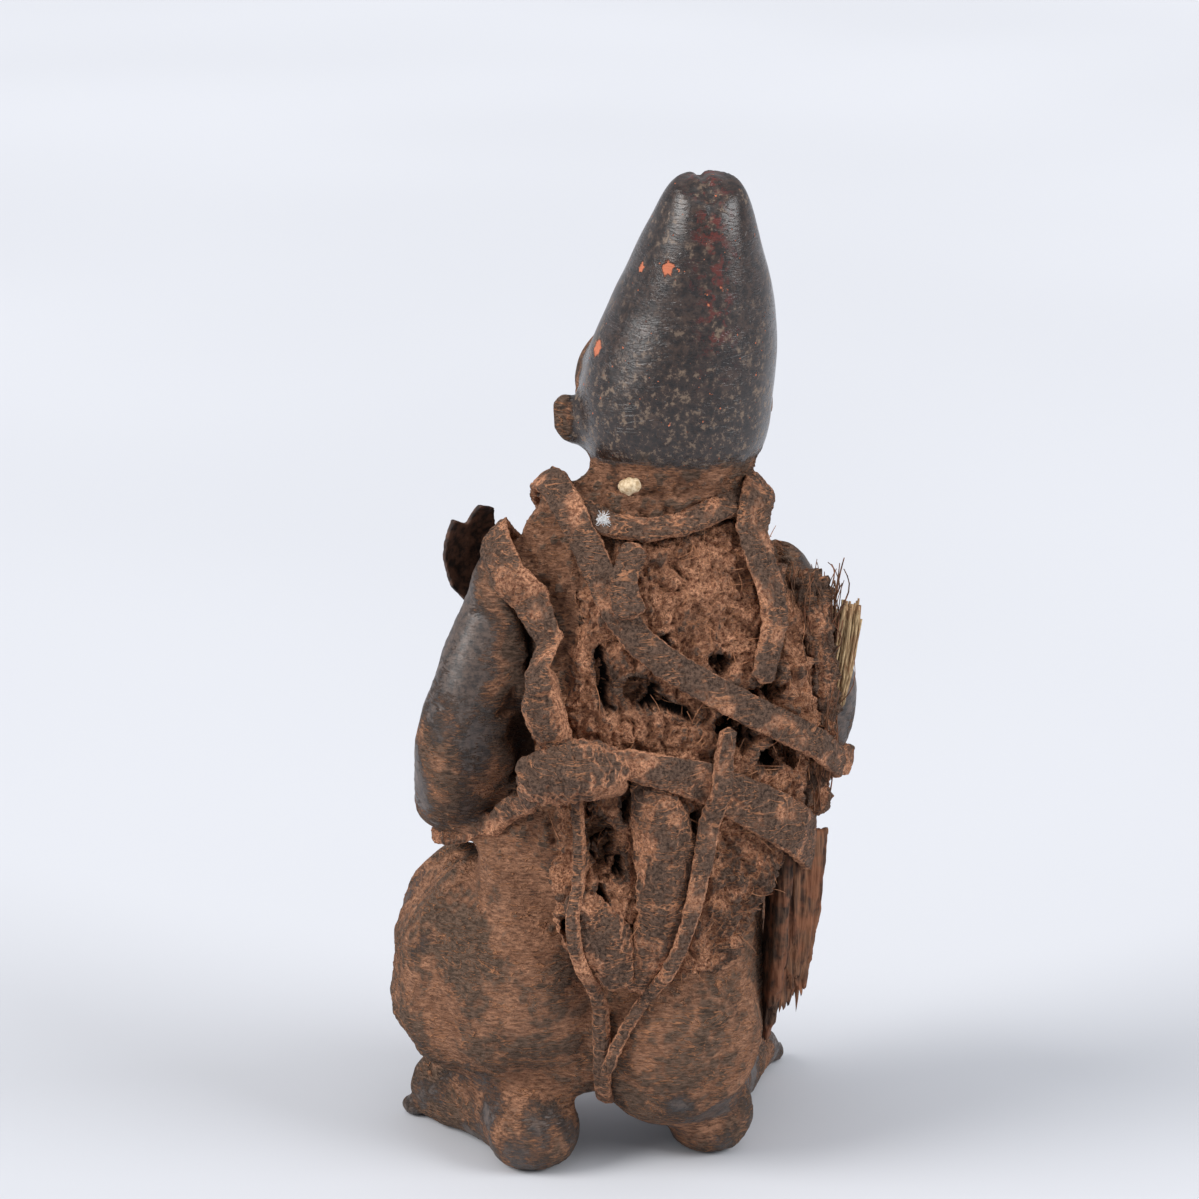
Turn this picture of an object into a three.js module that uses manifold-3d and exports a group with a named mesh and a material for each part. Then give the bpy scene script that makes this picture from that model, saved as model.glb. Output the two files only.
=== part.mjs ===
// A crouching figure of dark burnished clay with a tall pointed head, bound with straps, hung with small
// bundles and packed at the back with red earth and fibre.
//
// Units are millimetres. +Z is up, the figure faces -Y, and +X is its own left side. The origin is on the
// surface it stands on, under the middle of its bounding box. Each separate piece is one named mesh.
import * as THREE from "three";
import { mergeVertices } from "three/addons/utils/BufferGeometryUtils.js";
import Module from "manifold-3d";

const wasm = await Module();
wasm.setup();

// ---- Driving dimensions ----

const GAP = 0.35; // left between two pieces that touch
const STRAP_THICKNESS = 4;
const STRAP_SLACK = 0.5; // how far a strap stands off what it binds
const STRAP_WIDTH = 9.5;
const STRAP_SIDES = 6; // sides of its section
const STRAP_CORNER = 0.7;

const HEAD_TURN = THREE.MathUtils.degToRad(7); // the head looks a little to its left
const HEAD_CENTRE = new THREE.Vector3(-13, -4, 262);
const FACE_FRONT = -38; // the plane of the eyes

// The middle of the body, from the seat to the chest. Straps are laid on from outside, towards it.
const CORE = new THREE.Line3(new THREE.Vector3(-4, 6, 62), new THREE.Vector3(-8, 2, 188));

// Each station of a limb is its centre x, y, z, then half its width and half its depth.
const TRUNK = [
  [-4, 12, 50, 38, 32],
  [-4, 9, 84, 39, 31],
  [3.5, 7, 122, 47.5, 28],
  [-1, 7, 162, 46, 28],
  [-5, 6, 194, 46, 25],
  [-4, 5, 209, 47, 23],
  [-6.5, 4, 220, 34, 22],
  [-9.5, 3, 231, 26.5, 22],
  [-11, 2, 243, 24, 22],
];
const DOME = [
  [-11, 4, 236, 25, 24],
  [-12, 3, 247, 30, 30.5],
  [-13.2, 2, 259, 31.8, 33],
  [-17, 4, 278, 28.8, 31],
  [-19.2, 7, 294, 24.9, 27],
  [-19.6, 11, 309.5, 20, 22],
  [-20.2, 14.5, 322, 15.2, 16.5],
  [-20.5, 16, 328, 12, 12.6],
];
const LEFT_ARM = [
  [42, 4, 201, 14, 14],
  [50, 4, 178, 14.5, 15],
  [56, 4, 160, 16.5, 16.5],
  [60, 2, 143, 16, 16],
  [61, -4, 127, 14, 14.5],
  [59, -22, 115, 11.5, 11.5],
  [54, -42, 108, 9.5, 9],
];
const RIGHT_ARM = [
  [-48, 4, 196, 14, 14],
  [-56, 4, 180, 14.5, 15],
  [-61, 3, 164, 15, 15.5],
  [-62, 0, 146, 14.5, 15],
  [-60, -14, 128, 12, 12.5],
  [-54, -28, 114, 10.5, 10.5],
  [-48, -44, 107, 9.5, 9],
];
const LEFT_THIGH = [
  [31, 12, 69, 28, 35],
  [49, -5, 63, 31, 41],
  [54, -27, 64, 25, 34],
  [54, -45, 74, 19, 24],
];
const LEFT_HIP = { centre: [38, 5, 96], radii: [22, 20, 22] };
const RIGHT_THIGH = [
  [-9, 22, 45, 30, 36],
  [-18, 4, 51, 27, 35],
  [-36, -22, 64, 22, 31],
  [-46, -44, 75, 18, 23],
];
const LEFT_SHIN = [
  [55, -44, 70, 19, 19],
  [52, -24, 48, 17, 18],
  [45, 2, 26, 13, 15],
];
const RIGHT_SHIN = [
  [-46, -44, 70, 18, 18],
  [-40, -26, 46, 16, 17],
  [-28, -4, 25, 13, 14],
];
const LEFT_FOOT = [
  [39, 20, 13.5, 16.5, 16],
  [44, 4, 16, 13, 18],
  [53, -16, 11, 13, 13],
  [59, -31, 11, 14, 14],
];
const RIGHT_FOOT = [
  [-23, 16, 13.5, 16.5, 16],
  [-28, -2, 16, 13, 18],
  [-40, -30, 11, 13, 13],
  [-53, -56, 7.5, 14, 9],
];

// ---- Solids and meshes ----

const UNIT_X = new THREE.Vector3(1, 0, 0);
const UNIT_Z = new THREE.Vector3(0, 0, 1);
const vector = (place) => new THREE.Vector3(...place);

function positionsOnly(geometry) {
  const bare = geometry.clone();
  bare.deleteAttribute("normal");
  bare.deleteAttribute("uv");
  return mergeVertices(bare, 1e-3);
}

function solidOf(geometry) {
  const merged = positionsOnly(geometry);
  return new wasm.Manifold(
    new wasm.Mesh({
      numProp: 3,
      vertProperties: new Float32Array(merged.attributes.position.array),
      triVerts: new Uint32Array(merged.index.array),
    }),
  );
}

function geometryOf(solid) {
  const mesh = solid.getMesh();
  return new THREE.BufferGeometry()
    .setAttribute("position", new THREE.BufferAttribute(mesh.vertProperties, 3))
    .setIndex(new THREE.BufferAttribute(mesh.triVerts, 1));
}

const join = (...geometries) => geometryOf(geometries.map(solidOf).reduce((whole, part) => whole.add(part)));

const cut = (geometry, ...tools) =>
  geometryOf(tools.map(solidOf).reduce((whole, tool) => whole.subtract(tool), solidOf(geometry)));

// The same shape with every point moved out along its normal.
function inflated(geometry, by = GAP) {
  const grown = positionsOnly(geometry);
  grown.computeVertexNormals();
  const { position, normal } = grown.attributes;
  for (let i = 0; i < position.count; i++) {
    const out = new THREE.Vector3().fromBufferAttribute(normal, i).multiplyScalar(by);
    position.setXYZ(i, position.getX(i) + out.x, position.getY(i) + out.y, position.getZ(i) + out.z);
  }
  return grown;
}

// What is left of a piece beside its neighbours, with a small gap to each: its largest part.
function fitted(geometry, ...neighbours) {
  const rest = neighbours.reduce((whole, n) => whole.subtract(solidOf(inflated(n))), solidOf(geometry));
  const parts = rest.decompose().sort((a, b) => b.volume() - a.volume());
  return geometryOf(parts[0]);
}

// ---- Shapes ----

// Pulls a cosine or sine towards a square section: corner 1 is an ellipse, 0.5 nearly a rounded box.
const squared = (value, corner) => Math.sign(value) * Math.abs(value) ** corner;

// A closed skin over a row of rings, shaped from a sphere, whose poles close the first and last ring.
function skin(rings, around, corner = 1) {
  const sphere = new THREE.SphereGeometry(1, around, rings.length - 1);
  rings.forEach(({ centre, side, back }, row) => {
    for (let column = 0; column <= around; column++) {
      const turn = (2 * Math.PI * column) / around;
      const point = centre
        .clone()
        .addScaledVector(side, -squared(Math.cos(turn), corner))
        .addScaledVector(back, squared(Math.sin(turn), corner));
      sphere.attributes.position.setXYZ(row * (around + 1) + column, ...point.toArray());
    }
  });
  return sphere;
}

// A closed loop over a ring of rings, shaped from a torus.
function loopSkin(rings, around, corner = 1) {
  const torus = new THREE.TorusGeometry(2, 1, around, rings.length);
  for (let row = 0; row <= around; row++) {
    const turn = (2 * Math.PI * row) / around;
    for (let column = 0; column <= rings.length; column++) {
      const { centre, side, back } = rings[column % rings.length];
      const point = centre
        .clone()
        .addScaledVector(back, squared(Math.cos(turn), corner))
        .addScaledVector(side, squared(Math.sin(turn), corner));
      torus.attributes.position.setXYZ(row * (rings.length + 1) + column, ...point.toArray());
    }
  }
  return torus;
}

const ROUND_CAP = [90, 58, 26];
const SMALL_CAP = [90, 40];

// A round-ended limb through its stations, smooth along its length.
function limb(stations, options = {}) {
  const { around = 14, along = 8, startCap = 1, endCap = 1, cap = ROUND_CAP } = options;
  const { sideways = UNIT_X, corner = 1 } = options;
  const capAngles = cap.map(THREE.MathUtils.degToRad);
  const line = new THREE.CatmullRomCurve3(stations.map(([x, y, z]) => new THREE.Vector3(x, y, z)));
  const girth = new THREE.CatmullRomCurve3(stations.map(([, , , w, d]) => new THREE.Vector3(w, d, 0)));
  const ringAt = (t, reach, shrink) => {
    const heading = line.getTangent(t);
    const half = girth.getPoint(t);
    const side = sideways.clone().addScaledVector(heading, -sideways.dot(heading)).normalize();
    const back = heading.clone().cross(side);
    return {
      centre: line.getPoint(t).addScaledVector(heading, reach * Math.min(half.x, half.y)),
      side: side.multiplyScalar(half.x * shrink),
      back: back.multiplyScalar(half.y * shrink),
    };
  };
  const start = capAngles.map((a) => ringAt(0, -Math.sin(a) * startCap, Math.cos(a)));
  const middle = Array.from({ length: along + 1 }, (_, i) => ringAt(i / along, 0, 1));
  const end = capAngles.toReversed().map((a) => ringAt(1, Math.sin(a) * endCap, Math.cos(a)));
  return skin([...start, ...middle, ...end], around, corner);
}

function egg(centre, radii, { around = 10, rows = 6, turn = [0, 0, 0] } = {}) {
  const turned = new THREE.Quaternion().setFromEuler(new THREE.Euler(...turn));
  const ball = new THREE.SphereGeometry(1, around, rows).scale(...radii);
  return ball.applyQuaternion(turned).translate(...centre);
}

// ---- Laying straps on the body ----

const raycaster = new THREE.Raycaster();

// Where a line from outside to the body's core first meets one of the targets near a point.
function surfaceNear(point, targets) {
  const inner = CORE.closestPointToPoint(point, true, new THREE.Vector3());
  const outward = point.clone().sub(inner).normalize();
  raycaster.set(inner.clone().addScaledVector(outward, 400), outward.clone().negate());
  const hit = raycaster.intersectObjects(targets, false)[0];
  return hit && hit.point.distanceTo(inner) > 1
    ? { inner, outward, reach: hit.point.distanceTo(inner), normal: hit.face.normal.clone() }
    : { inner, outward, reach: 0, normal: outward };
}

const asTarget = (geometry) => {
  const mesh = new THREE.Mesh(geometry, new THREE.MeshBasicMaterial({ side: THREE.DoubleSide }));
  mesh.updateMatrixWorld(true);
  return mesh;
};

// Moves a point out until it stands clear of the targets, and draws a guide point in onto them.
function resting(point, targets, lift, snap) {
  const { inner, outward, reach } = surfaceNear(point, targets);
  const wanted = snap ? reach + lift : Math.max(reach + lift, point.distanceTo(inner));
  return inner.clone().addScaledVector(outward, wanted);
}

const averaged = (list, closed) =>
  list.map((item, i) => {
    const before = closed ? list.at(i - 1) : list[Math.max(i - 1, 0)];
    const after = closed ? list[(i + 1) % list.length] : list[Math.min(i + 1, list.length - 1)];
    return item.clone().multiplyScalar(2).add(before).add(after).divideScalar(4);
  });

// How far a piece of strap must move out for both its edges and its middle to clear the targets.
function shortfall(centre, side, half, targets, lift) {
  const needs = [-0.9, 0, 0.9].map((share) => {
    const point = centre.clone().addScaledVector(side, share * half);
    const { inner, reach } = surfaceNear(point, targets);
    return reach + lift - point.distanceTo(inner);
  });
  return Math.max(0, ...needs);
}

function widthAt(widths, t) {
  const place = t * (widths.length - 1);
  const low = Math.min(Math.floor(place), widths.length - 1);
  return THREE.MathUtils.lerp(widths[low], widths[Math.min(low + 1, widths.length - 1)], place - low);
}

// A strap pulled taut through its guide points: it lies on the targets and bridges their hollows.
// widths are its widths along its length, evenly spaced.
function strap(guide, targets, options) {
  const { widths = [STRAP_WIDTH], thick = STRAP_THICKNESS, steps = 12, closed = false } = options;
  const lift = thick / 2 + GAP + STRAP_SLACK;
  const snapped = guide.map((p) => resting(vector(p), targets, lift, true));
  const line = new THREE.CatmullRomCurve3(snapped, closed, "centripetal");
  const shares = Array.from({ length: closed ? steps : steps + 1 }, (_, i) => i / steps);
  let centres = shares.map((t) => resting(line.getPointAt(t), targets, lift, false));
  centres = averaged(centres, closed).map((p) => resting(p, targets, lift, false));
  let normals = centres.map((p) => {
    const { outward, normal } = surfaceNear(p, targets);
    return normal.dot(outward) > 0.3 ? normal.add(outward).normalize() : outward;
  });
  normals = averaged(averaged(normals, closed), closed);
  const laid = new THREE.CatmullRomCurve3(centres, closed);
  const rings = centres.map((centre, i) => {
    const heading = laid.getTangent(shares[i]);
    const back = normals[i].clone().addScaledVector(heading, -normals[i].dot(heading)).normalize();
    const side = back.clone().cross(heading);
    const half = widthAt(widths, shares[i]) / 2;
    const { outward } = surfaceNear(centre, targets);
    const clear = centre.clone().addScaledVector(outward, shortfall(centre, side, half, targets, lift));
    return { centre: clear, heading, side: side.multiplyScalar(half), back: back.multiplyScalar(thick / 2) };
  });
  if (closed) return loopSkin(rings, STRAP_SIDES, STRAP_CORNER);
  return skin([tip(rings[0], -1), ...rings, tip(rings.at(-1), 1)], STRAP_SIDES, STRAP_CORNER);
}

// The point that closes a strap's end, half its thickness past the last ring.
function tip({ centre, heading, back }, way) {
  const none = new THREE.Vector3();
  return { centre: centre.clone().addScaledVector(heading, way * back.length()), side: none, back: none };
}

// ---- The figure ----

function face() {
  const middle = HEAD_CENTRE.x;
  // A soft ridge across the face, drooping at its ends.
  const ridge = (z, y, half, up, deep, droop) =>
    limb(
      [
        [middle - half, y + half * 0.3, z - droop, up * 0.6, deep],
        [middle, y, z, up, deep],
        [middle + half, y + half * 0.3, z - droop, up * 0.6, deep],
      ],
      { around: 6, along: 4, sideways: UNIT_Z, cap: SMALL_CAP },
    );
  const skull = egg([middle, -15, 260], [29, 24, 27], { around: 14, rows: 9 });
  const forehead = egg([middle - 3, -9, 276], [19, 23, 27], { around: 10, rows: 6 });
  const jaw = egg([middle, -19, 246], [21, 18, 15], { around: 10, rows: 6 });
  const nose = limb(
    [
      [middle, FACE_FRONT + 1, 269, 2.6, 4],
      [middle, FACE_FRONT - 2, 260, 3.4, 4],
      [middle, FACE_FRONT - 3, 255, 5, 4],
    ],
    { around: 6, along: 3, cap: SMALL_CAP },
  );
  const eyes = [-1, 1].map((side) =>
    egg([middle + side * 11, FACE_FRONT + 4, 264], [7, 4, 3.6], { around: 8, rows: 5 }),
  );
  const lips = [ridge(247.5, FACE_FRONT - 0.5, 7, 1.8, 3.4, 0.4), ridge(244, FACE_FRONT, 6, 2, 3.4, -0.4)];
  return join(skull, forehead, jaw, nose, ...eyes, ...lips, ridge(271.5, FACE_FRONT + 2, 19, 2.6, 4, 2.5));
}

function ear(side) {
  const x = HEAD_CENTRE.x + side * 32.5;
  const shell = egg([x, -11, 253], [7, 6, 9.5], { around: 8, rows: 6, turn: [0.15, side * 0.35, 0] });
  const hollow = egg([x + side * 6, -15, 253], [3.5, 4, 6], { around: 6, rows: 5 });
  return cut(shell, hollow);
}

function head() {
  const dome = limb(DOME, { around: 16, along: 8, startCap: 0.6, endCap: 0.62 });
  const groove = egg([-21, 21, 336.5], [1.8, 24, 3.4], { around: 6, rows: 6, turn: [-0.35, 0, 0] });
  const turned = join(face(), ear(1), ear(-1));
  turned
    .translate(...HEAD_CENTRE.clone().negate().toArray())
    .rotateZ(HEAD_TURN)
    .translate(...HEAD_CENTRE.toArray());
  return join(cut(dome, groove), turned);
}

// Fingers lie side by side over the front of the knee.
function hand([x, y, z], side) {
  const palm = limb(
    [
      [x, y + 8, z, 8.5, 5],
      [x, y - 4, z - 1, 10, 5],
    ],
    { around: 8, along: 1, cap: SMALL_CAP },
  );
  const fingers = [-1.5, -0.5, 0.5, 1.5].map((place) =>
    limb(
      [
        [x + place * 4.7, y - 6, z - 1, 2.4, 2.6],
        [x + place * 5, y - 15, z - 5, 2.4, 2.6],
        [x + place * 5, y - 19, z - 14, 2.2, 2.4],
      ],
      { around: 5, along: 2, cap: SMALL_CAP },
    ),
  );
  const thumb = limb(
    [
      [x - side * 8, y + 2, z - 1, 2.8, 2.8],
      [x - side * 13, y - 6, z - 5, 2.6, 2.8],
    ],
    { around: 6, along: 1, cap: SMALL_CAP },
  );
  return join(palm, ...fingers, thumb);
}

// A foot from heel to toe line, with five toes spread across its end.
function foot(stations, side) {
  const [heel, toeLine] = [vector(stations[0]), vector(stations.at(-1))];
  const ahead = toeLine.clone().sub(heel).setZ(0).normalize();
  const across = UNIT_Z.clone().cross(ahead).multiplyScalar(side);
  const toes = [-2, -1, 0, 1, 2].map((place) => {
    const size = place === 2 ? 4.3 : 3.3;
    const at = toeLine
      .clone()
      .addScaledVector(across, -place * 5.4)
      .addScaledVector(ahead, 9.5 - Math.abs(place) * 1.2);
    return egg([at.x, at.y, size], [size, size * 1.7, size * 1.15], {
      around: 6,
      rows: 4,
      turn: [0, 0, Math.atan2(ahead.y, ahead.x) - Math.PI / 2],
    });
  });
  return join(limb(stations, { around: 10, along: 4 }), ...toes);
}

function makeBody() {
  return join(
    limb(TRUNK, { around: 16, along: 9 }),
    limb(LEFT_ARM, { around: 10 }),
    limb(RIGHT_ARM, { around: 10 }),
    limb(LEFT_THIGH, { around: 16, along: 5, startCap: 0.8 }),
    egg(LEFT_HIP.centre, LEFT_HIP.radii, { around: 10, rows: 6 }),
    limb(RIGHT_THIGH, { around: 14, along: 4 }),
    limb(LEFT_SHIN, { around: 10, along: 2, cap: SMALL_CAP }),
    limb(RIGHT_SHIN, { around: 10, along: 2, cap: SMALL_CAP }),
    foot(LEFT_FOOT, 1),
    foot(RIGHT_FOOT, -1),
    hand([53, -46, 107], 1),
    hand([-47, -48, 106], -1),
  );
}

// The soles are cut flat where it stands.
function makeFigure(body) {
  const below = new THREE.BoxGeometry(400, 400, 60).translate(0, 0, -30);
  return cut(join(body, head()), below);
}

// ---- The packing on the back, and what is tied on ----

// A flat wad that lies against the back.
const PACK = [
  [4, 37, 82, 29, 10],
  [-1, 38, 104, 35, 11],
  [-8, 34, 130, 41, 12],
  [-13, 33, 162, 44, 11],
  [-11, 29, 192, 38, 10],
  [-9, 24, 213, 29, 9],
];

// Hollows left open in the packing: centre, then half its size each way, then its lean in degrees.
const HOLLOWS = [
  [33, 38, 198, 7, 14, 11, 14],
  [27, 42, 180, 2.2, 9, 11, -3],
  [1, 44, 184, 3, 10, 5, 25],
  [9, 44, 171, 5, 11, 6, -30],
  [-20, 44, 178, 3.5, 9, 4, 0],
  [-39, 40, 184, 3, 10, 7, 10],
  [-37, 40, 168, 6, 11, 6, -30],
  [-27, 44, 153, 6, 9, 5, 50],
  [-43, 38, 146, 5, 11, 6, 35],
  [43, 34, 130, 6, 10, 4.5, -12],
  [26, 44, 133, 3.5, 9, 4, 20],
  [19, 46, 118, 4.6, 12, 11, -20],
];

function makePack(figure) {
  const wad = limb(PACK, { around: 16, along: 7, corner: 0.85 });
  const hollows = HOLLOWS.map(([x, y, z, w, d, h, lean]) =>
    egg([x, y, z], [w, d, h], { around: 6, rows: 4, turn: [0, THREE.MathUtils.degToRad(lean), 0] }),
  );
  return fitted(cut(wad, ...hollows), figure);
}

const place = (stations, options) => limb(stations, { around: 10, along: 5, cap: SMALL_CAP, ...options });

const BUNDLES = {
  pod: place(
    [
      [6, 44, 146, 4, 4],
      [3, 47, 134, 9, 7],
      [0, 48, 117, 10.5, 8],
      [0, 48, 98, 10, 7.5],
      [4, 47, 83, 8, 6],
      [9, 45, 73, 5, 4.5],
    ],
    { along: 8 },
  ),
  knot: place(
    [
      [40, 40, 145, 6, 6],
      [30, 43, 148, 7.5, 7],
      [20, 43, 147, 6, 6],
    ],
    { sideways: UNIT_Z },
  ),
  side_bundle: place([
    [39, 37, 176, 4.5, 5],
    [39, 40, 166, 6.5, 7],
    [35, 40, 157, 5, 5.5],
  ]),
  tongue: place([
    [28, 46, 102, 6, 4],
    [21, 48, 90, 9.5, 4.5],
    [14, 47, 76, 7.5, 4],
  ]),
  fibre_roll: place([
    [-54, 26, 197, 7, 7],
    [-54, 27, 175, 8.5, 8],
    [-55, 26, 150, 8, 7.5],
    [-56, 22, 124, 6, 6],
  ]),
  straw_bundle: place(
    [
      [-66, 22, 193, 6, 5.5],
      [-65, 22, 175, 5.5, 5],
      [-64, 22, 158, 5, 4.5],
    ],
    { along: 3, endCap: 0.2, startCap: 0.2 },
  ),
};

const BOARD = { top: [-46, 24, 112], foot: [-42, 19, 40], width: 4.5, depth: 9 };

function makeBoard() {
  return limb(
    [
      [...BOARD.top, 2.6, 9],
      [-45, 23, 92, 2.8, 9.5],
      [-44, 21, 64, 2.8, 9],
      [-42.5, 19, 47, 2.2, 5.5],
      [...BOARD.foot, 1, 2],
    ],
    { around: 8, along: 5, corner: 0.5, startCap: 0.2, endCap: 0.5, cap: SMALL_CAP },
  );
}

function makeBark() {
  return limb(
    [
      [-56, 18, 112, 7.5, 2.6],
      [-55, 18, 90, 7.5, 2.8],
      [-53, 17, 68, 6.5, 2.6],
      [-51, 16, 53, 4.5, 2],
    ],
    {
      around: 8,
      along: 5,
      corner: 0.55,
      startCap: 0.2,
      endCap: 0.3,
      cap: SMALL_CAP,
      sideways: new THREE.Vector3(1, 0.25, 0),
    },
  );
}

const makePeg = () => new THREE.BoxGeometry(7.5, 18, 4.5).rotateY(-0.12).rotateX(0.1).translate(-45, 31, 113);

// The shard's outline, x and z about its middle.
const SHARD_CURVE = 30;
const SHARD_THICKNESS = 2;
const SHARD_OUTLINE = [
  [-14, -16],
  [-12, 8],
  [-6, 10],
  [-4, 17],
  [2, 19],
  [5, 12],
  [12, 15],
  [14, 2],
  [11, -9],
  [3, -18],
];

// A broken piece of gourd, a thin curved bowl with its hollow side to the back.
function makeShard() {
  const bowl = new THREE.SphereGeometry(SHARD_CURVE, 14, 10);
  const inside = new THREE.SphereGeometry(SHARD_CURVE - SHARD_THICKNESS, 14, 10);
  const rim = new THREE.Shape(SHARD_OUTLINE.map(([x, z]) => new THREE.Vector2(x, z)));
  const outline = new THREE.ExtrudeGeometry(rim, { depth: 2 * SHARD_CURVE, bevelEnabled: false });
  const shell = solidOf(bowl).subtract(solidOf(inside)).intersect(solidOf(outline.rotateX(Math.PI / 2)));
  return geometryOf(shell).rotateZ(0.3).translate(42, 8, 205);
}

// ---- Putting it together ----

const body = makeBody();
const figure = makeFigure(body);
const earthPack = makePack(figure);

const pieces = { figure, earth_pack: earthPack };
for (const [name, shape] of Object.entries(BUNDLES)) {
  pieces[name] = fitted(shape, ...Object.values(pieces));
}
pieces.board = fitted(makeBoard(), ...Object.values(pieces));
pieces.bark = fitted(makeBark(), ...Object.values(pieces));
pieces.peg = fitted(makePeg(), ...Object.values(pieces));

// Guide points of each strap, near where it lies. The strap is laid on whatever is under them.
const STRAPS = {
  collar: {
    guide: [
      [20, 32, 231],
      [-6, 36, 229],
      [-30, 30, 235],
      [-44, 8, 234],
      [-38, -24, 228],
      [-10, -34, 222],
      [20, -24, 224],
      [28, 6, 231],
    ],
    closed: true,
    steps: 16,
  },
  cross_strap: {
    guide: [
      [26, 10, 233],
      [22, 34, 214],
      [13, 38, 196],
      [2, 42, 183],
      [-17, 44, 171],
      [-34, 42, 160],
      [-52, 36, 147],
      [-72, 14, 134],
      [-74, -14, 128],
      [-30, -40, 150],
      [8, -36, 190],
      [28, -14, 226],
    ],
    closed: true,
    steps: 32,
    widths: [11],
  },
  left_shoulder_strap: {
    guide: [
      [34, -20, 196],
      [44, -6, 216],
      [48, 14, 214],
      [43, 28, 200],
      [34, 36, 184],
      [30, 38, 173],
    ],
    widths: [11, 12, 13, 12, 10],
  },
  right_shoulder_strap: {
    guide: [
      [-36, -20, 200],
      [-40, -4, 222],
      [-36, 12, 226],
      [-31, 26, 226],
      [-34, 34, 215],
      [-39, 36, 202],
      [-36, 38, 189],
      [-31, 42, 172],
    ],
    widths: [12, 13, 14, 14, 11, 9],
  },
  centre_strap: {
    guide: [
      [8, 36, 222],
      [12, 38, 210],
      [9, 41, 197],
    ],
    widths: [9, 9.5, 11],
    steps: 6,
  },
  waist_wrap: {
    guide: [
      [33, 44, 147],
      [52, 30, 129],
      [60, 14, 116],
      [58, -34, 102],
      [0, -40, 112],
      [-50, -34, 112],
      [-68, 4, 106],
      [-60, 24, 108],
      [-44, 36, 118],
      [-20, 44, 137],
      [6, 46, 149],
    ],
    closed: true,
    steps: 32,
    widths: [9, 8, 7, 8, 8, 12, 16, 18, 19, 18, 12, 9],
  },
  crotch_strap: {
    guide: [
      [30, 44, 140],
      [28, 46, 112],
      [28, 48, 84],
      [24, 46, 64],
      [19, 38, 34],
      [17, 30, 22],
    ],
    widths: [4, 4, 5, 5.5, 6.5, 6],
  },
  loop_strap: {
    guide: [
      [-21, 44, 160],
      [-15, 48, 132],
      [-10, 48, 115],
      [-2.5, 48, 81],
      [10.5, 44, 60],
      [17.5, 40, 41],
    ],
    widths: [6, 8, 7, 5, 4, 4],
  },
};

const targets = [body, ...Object.values(pieces).slice(1)].map(asTarget);
for (const [name, options] of Object.entries(STRAPS)) {
  pieces[name] = fitted(strap(options.guide, targets, options), ...Object.values(pieces));
  targets.push(asTarget(pieces[name]));
}
pieces.calabash_shard = fitted(makeShard(), ...Object.values(pieces));
pieces.kernel = fitted(egg([8, 29.5, 238], [3.6, 3, 2.6], { around: 8, rows: 6 }), ...Object.values(pieces));

// ---- Materials ----

const FINISH = {
  clay: { color: 0x3b332e, roughness: 0.5, metalness: 0 },
  earth: { color: 0x8a5638, roughness: 0.95, metalness: 0 },
  strap: { color: 0x6a4a38, roughness: 0.9, metalness: 0 },
  straw: { color: 0xb59a6a, roughness: 0.8, metalness: 0 },
  wood: { color: 0x5a4030, roughness: 0.85, metalness: 0 },
  gourd: { color: 0x2c2019, roughness: 0.6, metalness: 0 },
  seed: { color: 0xc9a878, roughness: 0.7, metalness: 0 },
};
const finishOf = {
  figure: "clay",
  earth_pack: "earth",
  straw_bundle: "straw",
  board: "wood",
  bark: "wood",
  peg: "wood",
  calabash_shard: "gourd",
  kernel: "seed",
};

const group = new THREE.Group();
for (const [name, geometry] of Object.entries(pieces)) {
  const material = new THREE.MeshStandardMaterial(FINISH[finishOf[name] ?? "strap"]);
  const mesh = new THREE.Mesh(geometry, material);
  mesh.name = name;
  group.add(mesh);
}
const box = new THREE.Box3().setFromObject(group);
const middle = box.getCenter(new THREE.Vector3());
group.position.set(-middle.x, -middle.y, -box.min.z);

export default group;
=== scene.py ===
"""The looks of a bound crouching figure: dark burnished clay, straps and bundles caked with red earth."""

import itertools
import math

import bmesh
import bpy
import numpy as np
from mathutils import Matrix, Vector
from mathutils.bvhtree import BVHTree


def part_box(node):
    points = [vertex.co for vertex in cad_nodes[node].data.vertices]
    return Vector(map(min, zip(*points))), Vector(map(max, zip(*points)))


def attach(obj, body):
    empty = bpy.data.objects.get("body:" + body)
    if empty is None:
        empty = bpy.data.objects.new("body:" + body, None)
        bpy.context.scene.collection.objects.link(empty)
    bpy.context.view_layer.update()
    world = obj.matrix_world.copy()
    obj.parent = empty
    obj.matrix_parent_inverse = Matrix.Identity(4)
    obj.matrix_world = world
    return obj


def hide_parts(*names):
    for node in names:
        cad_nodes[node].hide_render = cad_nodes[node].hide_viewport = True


MM = 0.001
SEED = 20
rng = np.random.default_rng(SEED)

# Places on the figure are in mm from the middle of its body. LAYOUT takes them to the frame's origin.
LAYOUT = np.array([-1.1, 7.3, 0.0])
TO_LEFT = np.array([1.0, 0.0, 0.0])  # the figure's own left
TO_BACK = np.array([0.0, 1.0, 0.0])
UP = np.array([0.0, 0.0, 1.0])

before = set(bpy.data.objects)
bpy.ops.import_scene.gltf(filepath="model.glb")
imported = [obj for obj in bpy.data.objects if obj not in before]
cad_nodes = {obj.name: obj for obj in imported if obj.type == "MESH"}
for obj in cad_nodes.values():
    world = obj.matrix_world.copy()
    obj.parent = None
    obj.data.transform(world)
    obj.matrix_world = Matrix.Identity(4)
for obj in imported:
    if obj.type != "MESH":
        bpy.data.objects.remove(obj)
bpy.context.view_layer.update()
scene = bpy.context.scene

STRAPS = [
    "collar",
    "cross_strap",
    "waist_wrap",
    "left_shoulder_strap",
    "right_shoulder_strap",
    "centre_strap",
    "crotch_strap",
    "loop_strap",
]
BUNDLES = ["knot", "side_bundle", "pod", "tongue", "fibre_roll"]

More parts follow.
